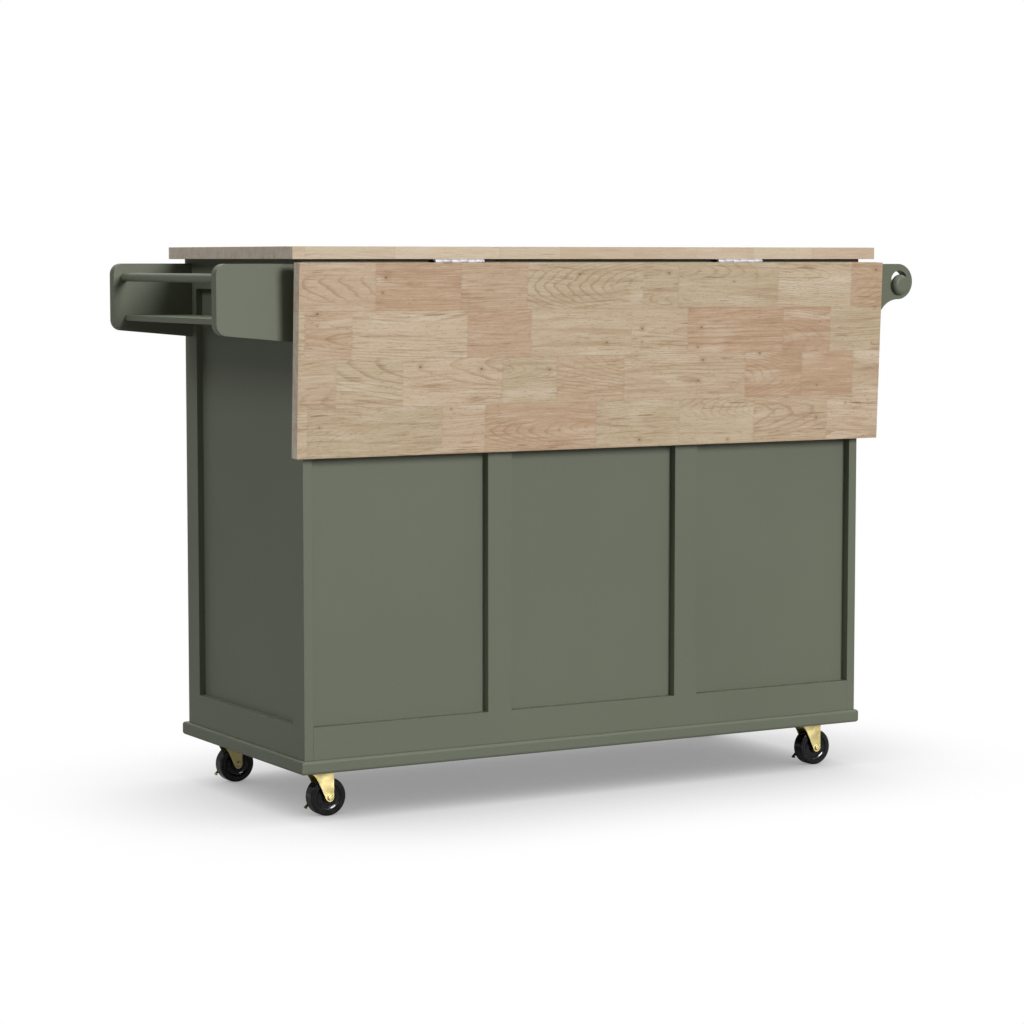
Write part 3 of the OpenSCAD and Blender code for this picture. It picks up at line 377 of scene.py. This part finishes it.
# Nodes whose grain runs their own way, instead of their slot's material
OWN_MATERIAL = {
    "worktop": WORKTOP_WOOD,
    "drop_leaf": LEAF_WOOD,
    "left_stay": STAY_WOOD,
    "right_stay": STAY_WOOD,
    "partitions": UPRIGHT_PLY,
}
SLOT_OF = {part["node"]: part["material_slot"] for part in frame["record"]["subparts"]}


def dress(obj, material):
    obj.data.materials.clear()
    obj.data.materials.append(material)


for node_name, node in NODES.items():
    dress(node, OWN_MATERIAL.get(node_name) or MATERIALS[SLOT_OF[node_name]])

# ---------------------------------------------------------------- softened edges

# How far the edges of each group of nodes are rounded over, in metres
EASED = {
    0.0008: ["worktop", "drop_leaf"],
    0.0005: ["left_end_frame", "right_end_frame", "back_frame", "face_frame", "left_door", "right_door",
             "top_drawer_front", "middle_drawer_front", "bottom_drawer_front"],
    0.0016: ["spice_rack_plates", "roll_holder_brackets"],
    0.0010: ["left_stay", "right_stay", "shelves", "spice_rack_shelf"],
    0.0004: ["worktop_hinge_plates", "leaf_hinge_plates", "door_hinge_plates", "left_door_hinges",
             "right_door_hinges", "stay_brackets", "stay_catches", "shelf_clips", "caster_plates"],
}
EASE_STEPS = 3
EASE_FROM_ANGLE = math.radians(35)
# Corners of the mesh that lie closer than this are one corner
SAME_POINT = 1e-6


def ease(node, width):
    """Rounds the sharp edges of a node over, in a modifier."""
    weld = node.modifiers.new("weld", "WELD")
    weld.merge_threshold = SAME_POINT
    bevel = node.modifiers.new("eased", "BEVEL")
    bevel.width = width
    bevel.segments = EASE_STEPS
    bevel.limit_method = "ANGLE"
    bevel.angle_limit = EASE_FROM_ANGLE
    bevel.harden_normals = True
    bevel.use_clamp_overlap = True


for ease_width, eased_nodes in EASED.items():
    for node_name in eased_nodes:
        ease(NODES[node_name], ease_width)

# ---------------------------------------------------------------- screws

# A head's radius and height, and how far its rim lies in the plate
SCREW_R = 0.0032
SCREW_H = 0.0010
SCREW_SUNK = 0.0002
SCREW_RINGS = 8
SCREW_SIDES = 32
# The cross recess: half its width and its reach as shares of the radius, its depth as one of the height
CROSS_WIDE = 0.15
CROSS_LONG = 0.62
CROSS_DEEP = 0.65


def head_height(x, y):
    """Height of a screw head over a point given in shares of its radius."""
    dome = SCREW_H * math.sqrt(max(0.0, 1 - x * x - y * y))
    in_cross = min(abs(x), abs(y)) < CROSS_WIDE and max(abs(x), abs(y)) < CROSS_LONG
    return dome - CROSS_DEEP * SCREW_H if in_cross else dome


def screw_heads(name, body, slot, places):
    """Domed heads with a cross recess, in one piece. Each place is a point and the way that it faces."""
    mesh = bmesh.new()
    for point, facing in places:
        stand = Matrix.Translation(point) @ Vector(facing).to_track_quat("Z", "Y").to_matrix().to_4x4()
        rings = []
        for ring in range(SCREW_RINGS):
            share = 1 - ring / SCREW_RINGS
            loop = []
            for side in range(SCREW_SIDES):
                angle = 2 * math.pi * side / SCREW_SIDES
                x, y = share * math.cos(angle), share * math.sin(angle)
                height = head_height(x, y) if ring else -SCREW_SUNK
                loop.append(mesh.verts.new(stand @ Vector((x * SCREW_R, y * SCREW_R, height))))
            rings.append(loop)
        for outer, inner in zip(rings, rings[1:]):
            for side in range(SCREW_SIDES):
                after = (side + 1) % SCREW_SIDES
                mesh.faces.new((outer[side], outer[after], inner[after], inner[side]))
        mesh.faces.new(rings[-1])
        mesh.faces.new(reversed(rings[0]))
    data = bpy.data.meshes.new(name)
    mesh.to_mesh(data)
    mesh.free()
    heads = bpy.data.objects.new(name, data)
    bpy.context.scene.collection.objects.link(heads)
    dress(heads, MATERIALS[slot])
    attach(heads, body)


CASTERS = ["front_right", "front_left", "back_right", "back_left"]
# A caster's plate: its thickness, and its screws from the swivel axis
CASTER_PLATE_T = 0.0025
CASTER_SCREW = (0.0235, 0.0165)
# A leaf hinge: its length, its plates' thickness, from its pin to the fixed plate, and its screws along X
HINGE_LENGTH = 0.090
HINGE_PLATE_T = 0.0018
HINGE_PLATE_FROM_PIN = 0.0041
HINGE_SCREW_X = (-0.032, 0.0, 0.032)
# From the leaf's pin to the screws of the leaf's plates, and to the plates' outer face, when the leaf is up
LEAF_SCREW_Y = (0.0115, 0.0230, 0.0115)
LEAF_PLATE_Z = 0.0020
# A stay's ears and its catch: their screws from the middle along X, and the thickness of their plates
STAY_SCREW_X = 0.0185
STAY_PLATE_T = 0.0015
CATCH_SCREW_X = 0.008
CATCH_LENGTH = 0.028
CATCH_T = 0.0025

DOWN = Vector((0, 0, -1))
BACK = Vector((0, 1, 0))
# Turns what is drawn for the level leaf to where it hangs
HANG = Matrix.Rotation(-LEAF_TURN, 3, "X")


def middles(node, length):
    """The middles along X of the two pieces of a given length at the ends of a node."""
    low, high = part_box(node)
    return low.x + length / 2, high.x - length / 2


def caster_screws():
    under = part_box("base_board")[0].z - CASTER_PLATE_T
    places = []
    for caster in CASTERS:
        axis = Vector(JOINTS[caster + "_swivel_turn"]["pos_m"])
        for x in (-CASTER_SCREW[0], CASTER_SCREW[0]):
            for y in (-CASTER_SCREW[1], CASTER_SCREW[1]):
                places.append((Vector((axis.x + x, axis.y + y, under)), DOWN))
    screw_heads("caster_plate_screws", "cabinet", "brass", places)


def leaf_hinge_screws():
    low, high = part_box("worktop_hinge_plates")
    plate_y = (low.y + LEAF_PIN.y - HINGE_PLATE_FROM_PIN) / 2
    fixed = []
    hung = []
    for centre in middles("worktop_hinge_plates", HINGE_LENGTH):
        for x, leaf_y in zip(HINGE_SCREW_X, LEAF_SCREW_Y):
            fixed.append((Vector((centre + x, plate_y, high.z - HINGE_PLATE_T)), DOWN))
            pin = Vector((centre + x, LEAF_PIN.y, LEAF_PIN.z))
            hung.append((pin + HANG @ Vector((0, leaf_y, LEAF_PLATE_Z)), HANG @ DOWN))
    screw_heads("worktop_hinge_screws", "cabinet", "zinc", fixed)
    screw_heads("leaf_hinge_screws", "leaf", "zinc", hung)


def stay_screws():
    ear_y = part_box("stay_brackets")[0].y + STAY_PLATE_T
    ear_z = middle("stay_brackets").z
    catch = middle("stay_catches")
    ears = []
    catches = []
    for centre in middles("stay_catches", CATCH_LENGTH):
        for x in (-STAY_SCREW_X, STAY_SCREW_X):
            ears.append((Vector((centre + x, ear_y, ear_z)), BACK))
        for x in (-CATCH_SCREW_X, CATCH_SCREW_X):
            face = Vector((centre + x, catch.y, catch.z)) + HANG @ Vector((0, 0, -CATCH_T / 2))
            catches.append((face, HANG @ DOWN))
    screw_heads("stay_bracket_screws", "cabinet", "zinc", ears)
    screw_heads("stay_catch_screws", "leaf", "zinc", catches)


caster_screws()
leaf_hinge_screws()
stay_screws()

# ---------------------------------------------------------------- studio

FLOOR_SIZE = 40.0
# What the floor gives back to the object as a light
FLOOR_GREY = (0.36, 0.36, 0.36, 1)
# The soft shadow on the floor: its reach, its darkest value, and the openness where it is darkest and gone
SHADOW_REACH = 0.4
SHADOW_CORE = 0.296
SHADOW_OPEN = (0.08, 0.97)

# Light from all round: what surfaces get from it, how bright it looks in reflections at eye level and
# overhead, and between which heights, as the sine of the angle, it grows brighter
AMBIENT = 0.08
REFLECTED = 0.22
REFLECTED_ABOVE = 3.2
REFLECTED_RISE = (0.35, 0.85)


def floor():
    """White to the camera, with an even soft shadow round whatever stands on it."""
    mesh = bpy.data.meshes.new("floor")
    half = FLOOR_SIZE / 2
    corners = [(-half, -half, 0), (half, -half, 0), (half, half, 0), (-half, half, 0)]
    mesh.from_pydata(corners, [], [(0, 1, 2, 3)])
    plane = bpy.data.objects.new("floor", mesh)
    bpy.context.scene.collection.objects.link(plane)
    s = Shader("floor", Base_Color=FLOOR_GREY, Roughness=0.9, Specular_IOR_Level=0.1)
    openness = s.node("AmbientOcclusion", {"samples": 16}, Distance=SHADOW_REACH).outputs["AO"]
    shade = s.node("MapRange", Value=openness)
    for key, number in zip(("From Min", "From Max", "To Min", "To Max"), (*SHADOW_OPEN, SHADOW_CORE, 1.0)):
        shade.inputs[key].default_value = number
    seen = s.node("Emission", Color=shade.outputs["Result"])
    both = s.node("MixShader", Fac=s.node("LightPath").outputs["Is Camera Ray"])
    s.tree.links.new(s.principled.outputs[0], both.inputs[1])
    s.tree.links.new(seen.outputs[0], both.inputs[2])
    # seen from below it isn't there, so the underside shows
    one_sided = s.node("MixShader", Fac=s.node("NewGeometry").outputs["Backfacing"])
    s.tree.links.new(both.outputs[0], one_sided.inputs[1])
    s.tree.links.new(s.node("BsdfTransparent").outputs[0], one_sided.inputs[2])
    s.tree.links.new(one_sided.outputs[0], s.tree.nodes["Material Output"].inputs["Surface"])
    plane.data.materials.append(s.material)


def backdrop():
    """Even white to the camera, dim as a light, with a large bright ceiling for gloss."""
    world = bpy.data.worlds.new("studio")
    bpy.context.scene.world = world
    world.use_nodes = True
    tree = world.node_tree
    background = tree.nodes["Background"]
    background.inputs["Color"].default_value = (1, 1, 1, 1)
    path = tree.nodes.new("ShaderNodeLightPath")
    split = tree.nodes.new("ShaderNodeSeparateXYZ")
    tree.links.new(tree.nodes.new("ShaderNodeTexCoord").outputs["Generated"], split.inputs[0])

    def level(value, low, high, start=0.0, end=1.0):
        made = tree.nodes.new("ShaderNodeMapRange")
        made.interpolation_type = "SMOOTHSTEP"
        tree.links.new(value, made.inputs["Value"])
        for key, number in (("From Min", start), ("From Max", end), ("To Min", low), ("To Max", high)):
            if isinstance(number, bpy.types.NodeSocket):
                tree.links.new(number, made.inputs[key])
            else:
                made.inputs[key].default_value = number
        return made.outputs["Result"]

    reflected = level(split.outputs["Z"], REFLECTED, REFLECTED_ABOVE, *REFLECTED_RISE)
    lit = level(path.outputs["Is Glossy Ray"], AMBIENT, reflected)
    seen = level(path.outputs["Is Camera Ray"], lit, 1.0)
    tree.links.new(seen, background.inputs["Strength"])


def far_light(name, azimuth, elevation, spread, strength, shines=True):
    """A distant round light: angles in degrees, azimuth from +X towards +Y, strength 1 for full white.

    One that doesn't shine lights surfaces and shows in no gloss.
    """
    light = bpy.data.lights.new(name, "SUN")
    light.angle = math.radians(spread)
    light.energy = math.pi * strength
    lamp = bpy.data.objects.new(name, light)
    lamp.visible_glossy = shines
    bpy.context.scene.collection.objects.link(lamp)
    level = math.cos(math.radians(elevation))
    towards = Vector((level * math.cos(math.radians(azimuth)), level * math.sin(math.radians(azimuth)),
                      math.sin(math.radians(elevation))))
    lamp.rotation_euler = towards.to_track_quat("Z", "Y").to_euler()


floor()
backdrop()
# The key stands behind the camera and lights the leaf and the back panels
far_light("key", 102.5, 15.5, 17, 0.80)
far_light("rack_end_fill", 0, 38, 24, 0.31, shines=False)
far_light("door_side_fill", -108, 25, 45, 0.95, shines=False)
far_light("overhead", 0, 90, 100, 0.12, shines=False)

# ---------------------------------------------------------------- camera

# Where the camera stands from the middle of the cabinet, on the floor, and where it looks
CAMERA_OFFSET = Vector((2.52584, 4.34113, 0.89475))
CAMERA_LOOKS = Vector((-0.496745, -0.863543, -0.086819))
CAMERA_LENS = 102.1
SENSOR = 36.0

camera_data = bpy.data.cameras.new("camera")
camera_data.lens = CAMERA_LENS
camera_data.sensor_width = SENSOR
camera = bpy.data.objects.new("camera", camera_data)
bpy.context.scene.collection.objects.link(camera)
camera.location = Vector((CABINET.x, CABINET.y, 0)) + CAMERA_OFFSET
camera.rotation_euler = CAMERA_LOOKS.to_track_quat("-Z", "Y").to_euler()
bpy.context.scene.camera = camera
bpy.context.scene.view_settings.view_transform = "Standard"
